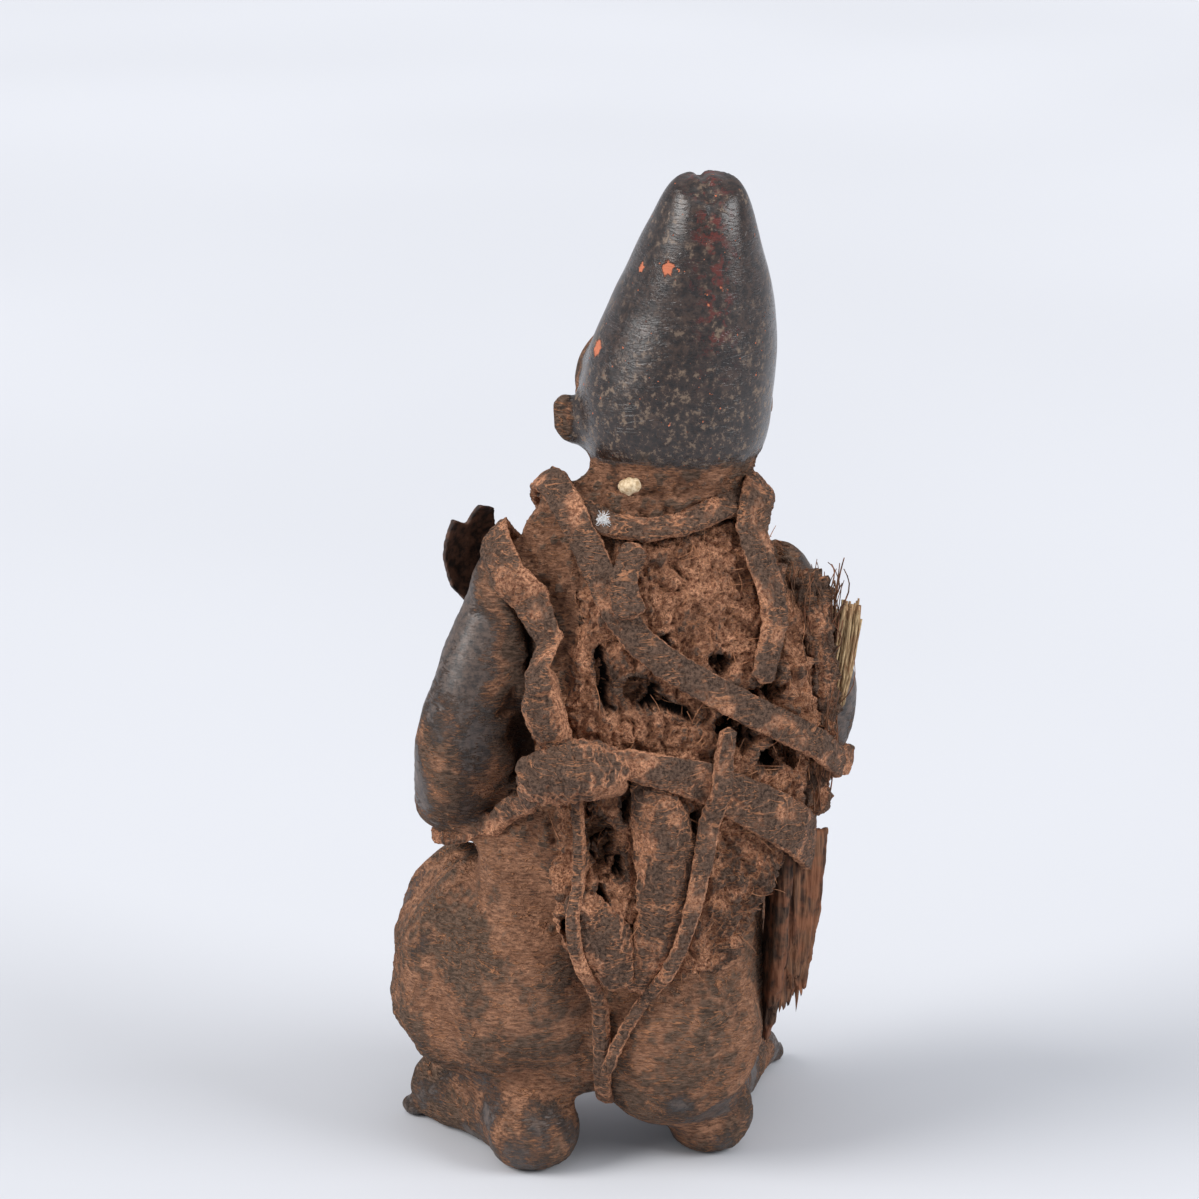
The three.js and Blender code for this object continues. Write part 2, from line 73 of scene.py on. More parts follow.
# How far from a strap the crust beside it reaches, and the distance over which it fades, mm.
CRUST_REACH = 7
CRUST_FADE = 2.6

# Small carved shapes that keep their form when the rest is smoothed: place and radius, mm.
FINE_SHAPES = [
    ((-8, -38, 258), 22),
    ((20, -14, 253), 11),
    ((-46, -8, 253), 11),
    ((53, -58, 102), 22),
    ((-47, -60, 101), 22),
    ((66, -45, 4), 20),
    ((-59, -68, 4), 20),
    ((-20, 18, 335), 8),
]

# Crust that fills the corners between the figure's limbs: place and radii, mm.
FIGURE_CLODS = [
    ((48, 0, 113), (11, 12, 11)),
    ((25, 20, 37), (14, 11, 13)),
]

# Deep creases in the figure's back: x, z, half width, half height, lean in degrees, depth.
FIGURE_HOLLOWS = [
    (42, 178, 5.5, 24, -8, 8),
    (46, 146, 5, 20, -14, 7),
    (-45, 206, 4, 10, 10, 4),
]

# Hollows in the packing: the same.
HOLLOWS = [
    (32, 198, 7.5, 11, 14, 12),
    (19, 176, 2.2, 10, -4, 5),
    (0, 185.5, 2.8, 4.2, 25, 8),
    (8, 172, 4.2, 6, -30, 9),
    (-3, 166, 11, 2.2, 27, 5),
    (-20, 179, 3, 3.4, 0, 6),
    (-39, 185, 2.6, 6.5, 10, 7),
    (-36, 177, 4, 2.4, 10, 5),
    (-34, 168, 6.2, 4, -25, 9),
    (-24, 157, 7, 4.5, 30, 7),
    (-38, 147, 4.5, 5.5, 35, 9),
    (44, 129, 5.5, 4.5, -12, 9),
    (26, 136, 3.4, 3.4, 20, 7),
    (19, 120, 4.8, 11, -18, 10),
    (11, 141, 2.2, 12, 8, 8),
    (-9, 120, 2.4, 12, 8, 7),
    (31, 90, 2.2, 9, 0, 6),
    (21, 100, 2.2, 8, -8, 5),
    (12, 60, 4.5, 9, 12, 8),
]


def smoothstep(values, low, high):
    t = np.clip((values - low) / (high - low), 0, 1)
    return t * t * (3 - 2 * t)


# ---- Noise ----


def lattice_noise(points, seed):
    """Smooth noise from about -1 to 1 at points given in noise cells."""
    cell = np.floor(points).astype(np.int64)
    part = points - cell
    fade = part**3 * (part * (part * 6 - 15) + 10)
    total = np.zeros(len(points))
    for corner in itertools.product((0, 1), repeat=3):
        at = (cell + corner).astype(np.uint32)
        mixed = at[:, 0] * np.uint32(73856093) ^ at[:, 1] * np.uint32(19349663)
        mixed ^= at[:, 2] * np.uint32(83492791) ^ np.uint32(seed * 2654435 & 0xFFFFFFFF)
        mixed = (mixed ^ (mixed >> np.uint32(15))) * np.uint32(2246822519)
        mixed ^= mixed >> np.uint32(13)
        slope = np.stack([(mixed >> np.uint32(s) & np.uint32(1023)) / 511.5 - 1 for s in (0, 10, 20)], 1)
        share = np.prod(np.where(corner, fade, 1 - fade), axis=1)
        total += share * ((part - corner) * slope).sum(1)
    return total * 1.5


def lumps(points, size, seed, octaves=1, keep=0.5):
    """Layered noise whose largest lumps are about size across, in mm; size may differ along each axis."""
    layers = (keep**k * lattice_noise(points * 2**k / np.array(size), seed + 7 * k) for k in range(octaves))
    return sum(layers)


def creases(points, size, seed, width=0.12):
    """1 along thin wandering lines and 0 between them."""
    return np.clip(1 - np.abs(lumps(points, size, seed, 2)) / width, 0, 1)


def crumbs(points, size, seed, octaves=2):
    """Rounded lumps with sharp creases between them, from 0 to about 1."""
    sizes = np.array(size)
    layers = (0.5**k * np.abs(lattice_noise(points * 2**k / sizes, seed + 7 * k)) for k in range(octaves))
    return 1.6 * sum(layers)


def sunk(points, hollows):
    """How deep each point lies in the hollows, mm, as if all of them faced straight back."""
    deep = np.zeros(len(points))
    wobble = lumps(points, 5, 61, 2)
    for x, z, wide, tall, lean, depth in hollows:
        turn = math.radians(lean)
        dx, dz = points[:, 0] - x, points[:, 2] - z
        across = (dx * math.cos(turn) + dz * math.sin(turn)) / wide
        up = (-dx * math.sin(turn) + dz * math.cos(turn)) / tall
        inside = 1 - (across**2 + up**2) * (1 + 0.7 * wobble)
        deep = np.maximum(deep, depth * np.sqrt(np.clip(inside, 0, 1)))
    return deep


# ---- Fine surfaces ----


class Skin:
    """A finely divided closed surface over a CAD node, held as arrays in mm."""

    def __init__(self, name, voxel, clods=()):
        """clods are lumps of crust grown onto it: place and radii, mm."""
        joined = bmesh.new()
        joined.from_mesh(cad_nodes[name].data)
        for spot, radii in clods:
            shape = Matrix.LocRotScale((Vector(spot) + Vector(LAYOUT)) * MM, None, Vector(radii) * MM)
            bmesh.ops.create_icosphere(joined, subdivisions=3, radius=1.0, matrix=shape)
        source = bpy.data.meshes.new("source")
        joined.to_mesh(source)
        joined.free()
        holder = bpy.data.objects.new("source", source)
        scene.collection.objects.link(holder)
        remesh = holder.modifiers.new("fine", "REMESH")
        remesh.mode = "VOXEL"
        remesh.voxel_size = voxel * MM
        shown = holder.evaluated_get(bpy.context.evaluated_depsgraph_get())
        self.mesh = bpy.data.meshes.new_from_object(shown)
        bpy.data.objects.remove(holder)
        self.read()

    def read(self):
        mesh = self.mesh
        points = np.empty(len(mesh.vertices) * 3)
        mesh.vertices.foreach_get("co", points)
        self.points = points.reshape(-1, 3) / MM - LAYOUT
        edges = np.empty(len(mesh.edges) * 2, np.int32)
        mesh.edges.foreach_get("vertices", edges)
        edges = edges.reshape(-1, 2)
        pairs = np.concatenate([edges, edges[:, ::-1]])
        pairs = pairs[np.argsort(pairs[:, 0], kind="stable")]
        count = len(self.points)
        self.degree = np.bincount(pairs[:, 0], minlength=count)
        column = np.arange(len(pairs)) - (np.cumsum(self.degree) - self.degree)[pairs[:, 0]]
        self.near = np.repeat(np.arange(count)[:, None], self.degree.max(), 1)
        self.near[pairs[:, 0], column] = pairs[:, 1]

    def averaged(self, values, rounds, share=0.5):
        """values after each has moved part of the way to its neighbours' mean, round after round."""
        flat = values.reshape(len(values), -1)
        degree = np.maximum(self.degree, 1)[:, None]
        spare = self.near.shape[1] - self.degree[:, None]
        for _ in range(rounds):
            mean = (flat[self.near].sum(1) - spare * flat) / degree
            flat = flat + share * (mean - flat)
        return flat.reshape(values.shape)

    def relax(self, rounds, kept=0.0):
        """Smooths the facets away and puts back what smoothing shrinks. kept is how much stays as it was."""
        smooth = self.averaged(self.points, rounds)
        for _ in range(2):
            smooth = smooth + self.averaged(self.points - smooth, rounds)
        blend = np.broadcast_to(1 - np.asarray(kept), len(self.points))[:, None]
        self.points = self.points + (smooth - self.points) * blend

    def normals(self):
        mesh = self.mesh
        mesh.vertices.foreach_set("co", ((self.points + LAYOUT) * MM).ravel())
        mesh.update()
        found = np.empty(len(self.points) * 3)
        mesh.vertex_normals.foreach_get("vector", found)
        return found.reshape(-1, 3)

    def push(self, amount, along=None):
        """Moves each point out by amount mm, along its normal or a given direction."""
        way = self.normals() if along is None else along
        self.points = self.points + np.asarray(amount).reshape(-1, 1) * way

    def proud(self, rounds):
        """How far each point stands out of its surroundings, mm."""
        return ((self.points - self.averaged(self.points, rounds)) * self.normals()).sum(1)

    def build(self, name, material, slot, *stands_for, **marks):
        mesh = self.mesh
        mesh.vertices.foreach_set("co", ((self.points + LAYOUT) * MM).ravel())
        for mark, values in marks.items():
            mesh.attributes.new(mark, "FLOAT", "POINT").data.foreach_set("value", values.astype(np.float32))
        return place(name, mesh, material, slot, *stands_for)


def place(name, mesh, material, slot, *stands_for):
    """Puts a mesh in the scene as a piece of the object."""
    mesh.polygons.foreach_set("use_smooth", np.ones(len(mesh.polygons), bool))
    mesh.materials.clear()
    mesh.materials.append(material)
    mesh.update()
    piece = bpy.data.objects.new(name, mesh)
    scene.collection.objects.link(piece)
    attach(piece, "root")
    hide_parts(*stands_for)
    return piece


def distance_to(points, names, reach):
    """How far each point is from the nearest of some CAD nodes, up to reach, mm."""
    corners, faces = [], []
    for name in names:
        mesh = cad_nodes[name].data
        first = len(corners)
        corners += [v.co / MM for v in mesh.vertices]
        faces += [[first + i for i in p.vertices] for p in mesh.polygons]
    tree = BVHTree.FromPolygons(corners, faces)
    found = (tree.find_nearest(Vector(p), reach)[3] for p in points + LAYOUT)
    return np.array([reach if d is None else d for d in found])


def tubes(paths, radii, sides=5):
    """One mesh of thin round fibres. Each path is rows of places in mm, with one radius for each place."""
    corners, faces = [], []
    for path, radius in zip(paths, radii):
        heading = np.gradient(path, axis=0)
        heading /= np.linalg.norm(heading, axis=1, keepdims=True) + 1e-9
        helper = np.array([0.31, 0.52, 0.79])
        side = np.cross(heading, helper)
        side /= np.linalg.norm(side, axis=1, keepdims=True) + 1e-9
        back = np.cross(heading, side)
        first = len(corners)
        turns = np.arange(sides) * 2 * math.pi / sides
        for spot, r, s, b in zip(path, np.broadcast_to(radius, len(path)), side, back):
            corners += [(spot + LAYOUT + r * (math.cos(t) * s + math.sin(t) * b)) * MM for t in turns]
        for i in range(len(path) - 1):
            low = first + i * sides
            for j in range(sides):
                k = (j + 1) % sides
                faces.append((low + j, low + k, low + sides + k, low + sides + j))
        faces.append(tuple(first + j for j in reversed(range(sides))))
        faces.append(tuple(first + (len(path) - 1) * sides + j for j in range(sides)))
    mesh = bpy.data.meshes.new("fibres")
    mesh.from_pydata(corners, [], faces)
    return mesh


# ---- Materials ----


def tint(red, green, blue):
    """A screen colour from 0 to 255 as the linear colour a shader takes."""
    shares = (red / 255, green / 255, blue / 255)
    linear = [c / 12.92 if c <= 0.04045 else ((c + 0.055) / 1.055) ** 2.4 for c in shares]
    return (*linear, 1.0)


class Paint:
    """A material being built. Sizes are in mm, and every value it returns is a socket or a number."""

    def __init__(self, name):
        self.material = bpy.data.materials.new(name)
        self.material.use_nodes = True
        self.tree = self.material.node_tree
        self.surface = self.tree.nodes["Principled BSDF"]
        self.place = self.node("ShaderNodeTexCoord").outputs["Object"]

    def node(self, kind, **settings):
        made = self.tree.nodes.new(kind)
        for key, value in settings.items():
            setattr(made, key, value)
        return made

    def feed(self, socket, value):
        if isinstance(value, bpy.types.NodeSocket):
            self.tree.links.new(value, socket)
        else:
            socket.default_value = value

    def math(self, operation, a, b=0.0):
        made = self.node("ShaderNodeMath", operation=operation)
        self.feed(made.inputs[0], a)
        self.feed(made.inputs[1], b)
        return made.outputs[0]

    def stretched(self, along):
        """The place, with lengths along each axis divided by along."""
        made = self.node("ShaderNodeVectorMath", operation="DIVIDE")
        self.feed(made.inputs[0], self.place)
        self.feed(made.inputs[1], along)
        return made.outputs[0]

    def noise(self, size, detail=2.0, roughness=0.55, place=None, twist=0.0):
        made = self.node("ShaderNodeTexNoise")
        self.feed(made.inputs["Vector"], self.place if place is None else place)
        made.inputs["Scale"].default_value = 1 / (size * MM)
        made.inputs["Detail"].default_value = detail
        made.inputs["Roughness"].default_value = roughness
        made.inputs["Distortion"].default_value = twist
        return made.outputs["Fac"]

    def between(self, value, low, high, start=0.0, end=1.0):
        """value taken from low..high to start..end, smoothly, and held beyond them."""
        made = self.node("ShaderNodeMapRange", interpolation_type="SMOOTHSTEP")
        for socket, number in zip(made.inputs[:5], (value, low, high, start, end)):
            self.feed(socket, number)
        return made.outputs[0]

    def mark(self, name):
        return self.node("ShaderNodeAttribute", attribute_name=name).outputs["Fac"]

    def mix(self, share, a, b):
        made = self.node("ShaderNodeMix", data_type="RGBA")
        self.feed(made.inputs["Factor"], share)
        self.feed(made.inputs["A"], a)
        self.feed(made.inputs["B"], b)
        return made.outputs["Result"]

    def blend(self, share, a, b):
        """The same for plain values."""
        made = self.node("ShaderNodeMix", data_type="FLOAT")
        self.feed(made.inputs["Factor"], share)
        self.feed(made.inputs["A"], a)
        self.feed(made.inputs["B"], b)
        return made.outputs["Result"]

    def relief(self, height, depth):
        """Roughens the surface by height times depth mm."""
        made = self.node("ShaderNodeBump")
        made.inputs["Distance"].default_value = depth * MM
        made.inputs["Strength"].default_value = 1.0
        self.feed(made.inputs["Height"], height)
        self.feed(self.surface.inputs["Normal"], made.outputs["Normal"])

    def finish(self, colour, roughness, specular=0.4):
        self.feed(self.surface.inputs["Base Color"], colour)
        self.feed(self.surface.inputs["Roughness"], roughness)
        self.feed(self.surface.inputs["Specular IOR Level"], specular)
        return self.material


# Each palette: dark and light clay, then dark and light rubbed clay.
LOOSE_EARTH = (tint(122, 76, 56), tint(255, 188, 146), tint(64, 50, 42), tint(134, 106, 89))
SETTLED_EARTH = (tint(118, 85, 67), tint(204, 150, 117), tint(76, 62, 52), tint(138, 111, 93))
EARTH_UNDER = tint(122, 84, 64)
VEIN = tint(218, 152, 110)
# Painted shade, laid into the hollows and creases of the earth.
SHADE = tint(26, 17, 13)
SPECK = tint(176, 150, 130)
LYING_GRAIN = (2.4, 2.4, 0.7)  # drawn out sideways


def earth_colour(paint, worn, hollow, palette, lie=(1.0, 1.0, 1.0)):
    """Red earth, grey-brown where it is rubbed, with painted shade darkening it down in the hollows. lie
    stretches its grain.
    """
    clay_dark, clay_light, rubbed_dark, rubbed_light = palette
    broad = paint.noise(9, 3)
    grain = paint.noise(1.1, 4, 0.7, place=paint.stretched(lie))
    wisps = paint.noise(10, 4, 0.55, place=paint.stretched((2.4, 2.4, 0.55)), twist=0.5)
    contours = paint.math("PINGPONG", paint.math("MULTIPLY", wisps, 11.0), 0.5)
    veins = paint.between(contours, 0.0, 0.17, 1.0, 0.0)
    veins = paint.math("MULTIPLY", veins, paint.between(paint.noise(8, 4, 0.6), 0.38, 0.56))
    clay = paint.mix(paint.between(grain, 0.32, 0.68), clay_dark, clay_light)
    clay = paint.mix(paint.between(broad, 0.35, 0.65, 0.0, 0.5), clay, EARTH_UNDER)
    rubbed = paint.mix(paint.between(grain, 0.32, 0.7), rubbed_dark, rubbed_light)
    share = paint.math("ADD", worn, paint.math("MULTIPLY", paint.math("SUBTRACT", grain, 0.5), 0.6))
    share = paint.math("ADD", share, paint.math("MULTIPLY", paint.math("SUBTRACT", broad, 0.5), 1.8))
    share = paint.math("SUBTRACT", share, paint.math("MULTIPLY", veins, 0.3))
    colour = paint.mix(paint.between(share, 0.3, 0.7), clay, rubbed)
    colour = paint.mix(paint.math("MULTIPLY", veins, 0.66), colour, VEIN)
    # Painted shade: the colour goes towards SHADE in the hollows and creases.
    colour = paint.mix(hollow, colour, SHADE)
    specks = paint.between(paint.noise(0.8, 1), 0.73, 0.77)
    return paint.mix(paint.math("MULTIPLY", specks, 0.5), colour, SPECK), grain, veins


def crust_paint(name, depth=2.6, rubbed=0.0):
    """Caked earth. rubbed adds to how worn it is all over."""
    paint = Paint(name)
    worn = paint.math("ADD", paint.mark("worn"), rubbed)
    colour, grain, veins = earth_colour(paint, worn, paint.mark("hollow"), LOOSE_EARTH)
    fine = paint.noise(0.5, 3, 0.6)
    height = paint.math("ADD", grain, paint.math("MULTIPLY", fine, 0.4))
    height = paint.math("ADD", height, paint.math("MULTIPLY", veins, 0.3))
    paint.relief(height, depth)
    return paint.finish(colour, paint.blend(paint.mark("worn"), 0.95, 0.72), 0.18)


# Chips in the skin of the head that show the clay: place and radius, mm.
CHIPS = [
    ((-4, 28, 309.5), 3.0),
    ((13, 7, 279.5), 3.4),
    ((-21.5, 36, 303), 2.2),
    ((-19.6, 38, 292), 2.6),
    ((-30, 36, 286.5), 2.2),
    ((-38.5, 17, 305), 2.4),
    ((2, 17, 308), 1.8),
    ((-25, 38, 268), 1.8),
    ((-14, 36, 297), 1.4),
]


def figure_paint():
    """Burnished black-brown clay, flecked and chipped on the head, under red earth where it is dusty."""
    paint = Paint("burnished_clay")
    dust = paint.mark("dust")
    worn, hollow = paint.mark("worn"), paint.mark("hollow")
    earth, grain, veins = earth_colour(paint, worn, hollow, SETTLED_EARTH, LYING_GRAIN)

    cloud = paint.noise(14, 3)
    mottle = paint.noise(2.4, 5, 0.7)
    burnish = paint.mix(paint.between(mottle, 0.35, 0.68), tint(24, 19, 18), tint(66, 50, 42))
    separate = paint.node("ShaderNodeSeparateXYZ")
    paint.feed(separate.inputs[0], paint.place)
    low = paint.between(separate.outputs[2], 0.25, 0.31, 0.16, -0.04)
    flecks = paint.between(paint.math("ADD", cloud, low), 0.45, 0.62)
    flecks = paint.math("MULTIPLY", flecks, paint.between(mottle, 0.54, 0.63))
    flecks = paint.math("MULTIPLY", flecks, paint.mark("head"))
    limbs = paint.mix(paint.between(mottle, 0.35, 0.65), tint(40, 33, 30), tint(92, 75, 65))
    burnish = paint.mix(paint.mark("head"), limbs, burnish)
    burnish = paint.mix(paint.math("MULTIPLY", flecks, 0.72), burnish, tint(128, 108, 88))
    streak = paint.math("ABSOLUTE", paint.math("ADD", separate.outputs[0], 0.0205))
    wander = paint.math("MULTIPLY", mottle, 0.02)
    streak = paint.between(paint.math("ADD", streak, wander), 0.01, 0.019, 1.0, 0.0)
    streak = paint.math("MULTIPLY", streak, paint.between(separate.outputs[2], 0.262, 0.3))
    patches = paint.between(paint.noise(4, 4, 0.7), 0.5, 0.6)
    red = paint.math("MULTIPLY", paint.math("MULTIPLY", streak, patches), 0.85)
    burnish = paint.mix(red, burnish, tint(98, 38, 30))
    chipped = 0.0
    edge = paint.math("MULTIPLY", paint.math("SUBTRACT", paint.noise(1.6, 3), 0.5), 0.0035)
    for spot, radius in CHIPS:
        away = paint.node("ShaderNodeVectorMath", operation="DISTANCE")
        paint.feed(away.inputs[0], paint.place)
        away.inputs[1].default_value = tuple((np.array(spot) + LAYOUT) * MM)
        near = paint.math("ADD", away.outputs["Value"], edge)
        chip = paint.between(near, radius * 0.75 * MM, radius * MM, 1.0, 0.0)
        chipped = paint.math("MAXIMUM", chipped, chip)
    small = paint.math("MULTIPLY", paint.between(paint.noise(1.9, 2), 0.71, 0.74), paint.mark("head"))
    chipped = paint.math("MAXIMUM", chipped, small)
    burnish = paint.mix(chipped, burnish, tint(196, 112, 78))

    share = paint.math("ADD", dust, paint.math("MULTIPLY", paint.math("SUBTRACT", cloud, 0.5), 1.2))
    share = paint.math("ADD", share, paint.math("MULTIPLY", paint.math("SUBTRACT", grain, 0.5), 0.9))
    dusty = paint.between(share, 0.35, 0.7)
    colour = paint.mix(dusty, burnish, earth)
    height = paint.math("ADD", grain, paint.math("MULTIPLY", veins, 0.6))
    height = paint.math("MULTIPLY", height, paint.blend(dusty, 0.05, 1.0))
    height = paint.math("SUBTRACT", height, paint.math("MULTIPLY", chipped, 0.5))
    paint.relief(height, 2.9)
    polish = paint.between(cloud, 0.35, 0.65, 0.2, 0.3)
    shine = paint.blend(flecks, paint.blend(paint.mark("head"), 0.42, polish), 0.45)
    shine = paint.blend(chipped, shine, 0.85)
    return paint.finish(colour, paint.blend(dusty, shine, 0.92), paint.blend(dusty, 0.62, 0.18))


def grained_paint(name, dark, light, across=0.8, along=18, depth=0.5, roughness=0.85, earthy=0.5):
    """Wood, bark or straw with its grain running up. earthy is how much earth clings to it."""
    paint = Paint(name)
    grain = paint.noise(1.0, 4, 0.6, place=paint.stretched((across, across, along)))
    patch = paint.noise(7, 3)
    colour = paint.mix(paint.between(grain, 0.35, 0.68), dark, light)
    colour = paint.mix(paint.between(patch, 0.42, 0.62, 0.0, earthy), colour, tint(146, 92, 64))
    paint.relief(grain, depth)
    return paint.finish(colour, roughness, 0.3)


def plain_paint(name, dark, light, size=2.0, roughness=0.8, depth=0.2):
    paint = Paint(name)
    grain = paint.noise(size, 4, 0.6)
    paint.relief(grain, depth)
    return paint.finish(paint.mix(paint.between(grain, 0.35, 0.65), dark, light), roughness, 0.35)


# ---- The figure ----

# Where the left thigh is rubbed and where earth still lies on it: place and radius, mm, and how much.
PATCHES = [
    ((64, 20, 77), 12.0, 0.55),
    ((69, 15, 54), 10.0, -0.6),
    ((44, 34, 92), 14.0, -0.3),
]

# Heights on the figure between which one form gives way to the next, mm.
ANKLE = (20, 34)
HIP = (100, 120)
ELBOW = (108, 118)
SHOULDER = (205, 216)
NECK = (237, 246)


def shape_left_side(skin):
    """Brings the left arm and thigh closer to the real ones than their solid is."""
    x, y, z = skin.points.T
    inside = smoothstep(x, 38, 44) * (1 - smoothstep(x, 47, 62))
    upper = smoothstep(z, 122, 145) * (1 - smoothstep(z, 186, 206))
    skin.push(7.0 * inside * upper * smoothstep(y, -16, 4), -TO_LEFT)

    x, _, z = skin.points.T
    outer = smoothstep(x, 44, 74)
    top = smoothstep(z, 68, 100) * (1 - smoothstep(z, 108, 118))
    foot = smoothstep(z, 24, 34) * (1 - smoothstep(z, 42, 64))
    skin.push(outer * (4 * foot - 6.5 * top), TO_LEFT)


def shape_crown(skin, x, y, z):
    """Rounds the tip of the head and cuts the coffee-bean groove across it."""
    crown = y[z > 328]
    across = np.minimum(np.abs(y - crown.mean()) / np.ptp(crown) * 2, 1.0)
    skin.push((1.8 - 3.2 * across**2) * smoothstep(z, 318, 332), UP)
    groove = smoothstep(z, 325, 333) * np.exp(-(((x + 19.5) / 1.5) ** 2))
    skin.push(-1.8 * groove)


def make_figure():
    skin = Skin("figure", 1.36, FIGURE_CLODS)
    skin.relax(5)
    detail = np.zeros(len(skin.points))
    for spot, radius in FINE_SHAPES:
        away = np.linalg.norm(skin.points - spot, axis=1)
        detail = np.maximum(detail, 1 - smoothstep(away, radius * 0.75, radius * 1.25))
    skin.relax(78, detail)
    x, y, z = skin.points.T
    out = skin.normals()
    head = smoothstep(z, *NECK)
    flanks = np.maximum(smoothstep(x, 40, 48), smoothstep(-x, 47, 53))
    arms = flanks * smoothstep(z, *ELBOW) * (1 - smoothstep(z, *SHOULDER))
    back = smoothstep(out[:, 1], -0.3, 0.4)
    trunk = (1 - arms) * smoothstep(z, *HIP) * (1 - head)
    feet = 1 - smoothstep(z, *ANKLE)

    lump = lumps(skin.points, 22, 1, 2)
    broken = crumbs(skin.points, 6, 5, 3) - 0.4
    fine = lumps(skin.points, 2.6, 9, 2)
    wrinkled = creases(skin.points + lumps(skin.points, 9, 11)[:, None] * 1.5, (13, 13, 4), 13)
    crusty = (1 - head) * (1 - 0.7 * arms) * (1 - 0.5 * feet) * (1 - detail)
    caked = trunk * back
    amount = lump * (0.35 + 1.0 * crusty) + crusty * (0.5 * broken + 0.3 * fine + 0.35 * wrinkled)
    amount += caked * (1.6 * broken + 0.4 * fine - 0.9 * creases(skin.points, 9, 15))
    near = distance_to(skin.points, [*STRAPS, *BUNDLES, "earth_pack"], CRUST_REACH)
    amount += crusty * (1.3 + 0.8 * broken) * np.exp(-near / CRUST_FADE) * (near < CRUST_REACH)
    amount += head * (1 - detail) * (1.0 + smoothstep(z, 255, 285))
    skin.push(amount * (1 - 0.8 * detail))
    deep = sunk(skin.points, FIGURE_HOLLOWS) * smoothstep(out[:, 1], -0.1, 0.3)
    skin.push(-deep, TO_BACK)

    shape_left_side(skin)
    shape_crown(skin, x, y, z)

    proud = skin.proud(14)
    worn = 0.4 + 0.8 * proud - 0.25 * trunk * back + 0.42 * lumps(skin.points, 30, 31, 3)
    # Faces turned down get more of the darker, greyer rubbed colour.
    worn += 0.25 * smoothstep(-out[:, 2], 0.1, 0.8) * (1 - head)
    for spot, radius, change in PATCHES:
        worn += change * np.exp(-((np.linalg.norm(skin.points - spot, axis=1) / radius) ** 2))
    patchy = 0.35 * lumps(skin.points, 26, 41, 2) + 0.2 * lumps(skin.points, 8, 43, 2)
    neck = 1 - smoothstep(z, 238, 252)
    front = smoothstep(-y, 5, 16)
    ears = smoothstep(np.abs(x + 13), 31, 35) * (1 - smoothstep(z, 264, 270))
    inner = (1 - smoothstep(np.abs(x), 50, 62)) * smoothstep(y, 0, 10)
    dust = np.clip(0.95 - 0.52 * arms * (1 - 0.6 * inner) - 0.4 * feet, 0, 1) * (1 - head)
    face = np.maximum(front * (1 - smoothstep(z, 285, 300)), ears)
    dust += head * np.maximum(0.75 * neck * back, 0.72 * face)
    dust = np.maximum(dust + patchy * (1 - head), 0.9 * np.exp(-near / 3) * (1 - head))
    # Painted shade: how dark the figure's creases and carved hollows are painted.
    hollow = np.maximum(smoothstep(-proud, 0.5, 1.6) * 0.7 * (1 - head), smoothstep(deep, 2, 6) * 0.85)
    return skin.build(
        "figure_body",
        figure_paint(),
        "burnished_clay",
        "figure",
        worn=np.clip(worn, 0, 1),
        dust=np.clip(dust, 0, 1.2),
        hollow=hollow,
        head=head,
    )


# ---- The packing ----


def make_pack(paint):
    skin = Skin("earth_pack", 0.62)
    skin.relax(35)
    out = skin.normals()
    facing = smoothstep(out[:, 1], 0.0, 0.5)
    near = distance_to(skin.points, [*STRAPS, *BUNDLES], CRUST_REACH)
    rough = 2.0 * lumps(skin.points, 13, 71, 2) + 2.6 * crumbs(skin.points, 7, 73, 3) - 1.2
    fibrous = 0.9 * lumps(skin.points, (1.6, 1.6, 9), 75, 2) + 0.5 * lumps(skin.points, 1.9, 76, 2)
    crevice = 1.5 * creases(skin.points, 11, 77) + 0.8 * creases(skin.points, 5, 79)
    heaped = 3.2 * lumps(skin.points, 9, 83) - 1.7
    skin.push(0.6 + rough + fibrous - crevice + heaped * np.exp(-near / CRUST_FADE))
    deep = 1.8 * sunk(skin.points, HOLLOWS) * facing
    skin.push(-deep, TO_BACK)
    proud = skin.proud(14)
    wide = skin.proud(90)
    x, _, z = skin.points.T
    hip = smoothstep(-x, 12, 20) * (1 - smoothstep(z, 112, 124))
    worn = 0.05 + 0.42 * proud + 0.12 * wide + 0.25 * lumps(skin.points, 16, 81, 2) + 0.45 * hip
    # Painted shade in the holes of the packing, in its small crevices and in its broad dips.
    hollow = np.maximum(smoothstep(deep, 1.6, 5.5), smoothstep(-proud, 0.7, 2.0) * 0.8)
    hollow = np.maximum(hollow, smoothstep(-wide, 1.8, 4.5) * 0.65)
    worn = np.clip(worn, 0, 1)
    return skin.build("packed_earth", paint, "packed_earth", "earth_pack", worn=worn, hollow=hollow)


# ---- Straps and bundles ----

BODY_AXIS = (-5, -2)  # x and y of the upright line that the straps go round, mm
TUCKED = {"waist_wrap": 5.0}  # how far a strap is drawn in under the left elbow, mm

# Where a strap or bundle lies otherwise than its solid: the place, the radii and the shift, mm.
BENDS = {
    "left_shoulder_strap": [((42, 28, 194), (24, 20, 12), (8.0, 0.0, 0.0))],
    "waist_wrap": [
        ((50, 28, 124), (9, 18, 14), (0.0, 1.0, 8.0)),
        ((45, 34, 137), (6, 18, 10), (0.0, 0.0, -4.0)),
        ((57, 20, 120), (6, 18, 14), (0.0, 0.0, 5.0)),
    ],
    "knot": [((30, 46, 148), (30, 30, 30), (0.0, 5.5, 0.0))],
}


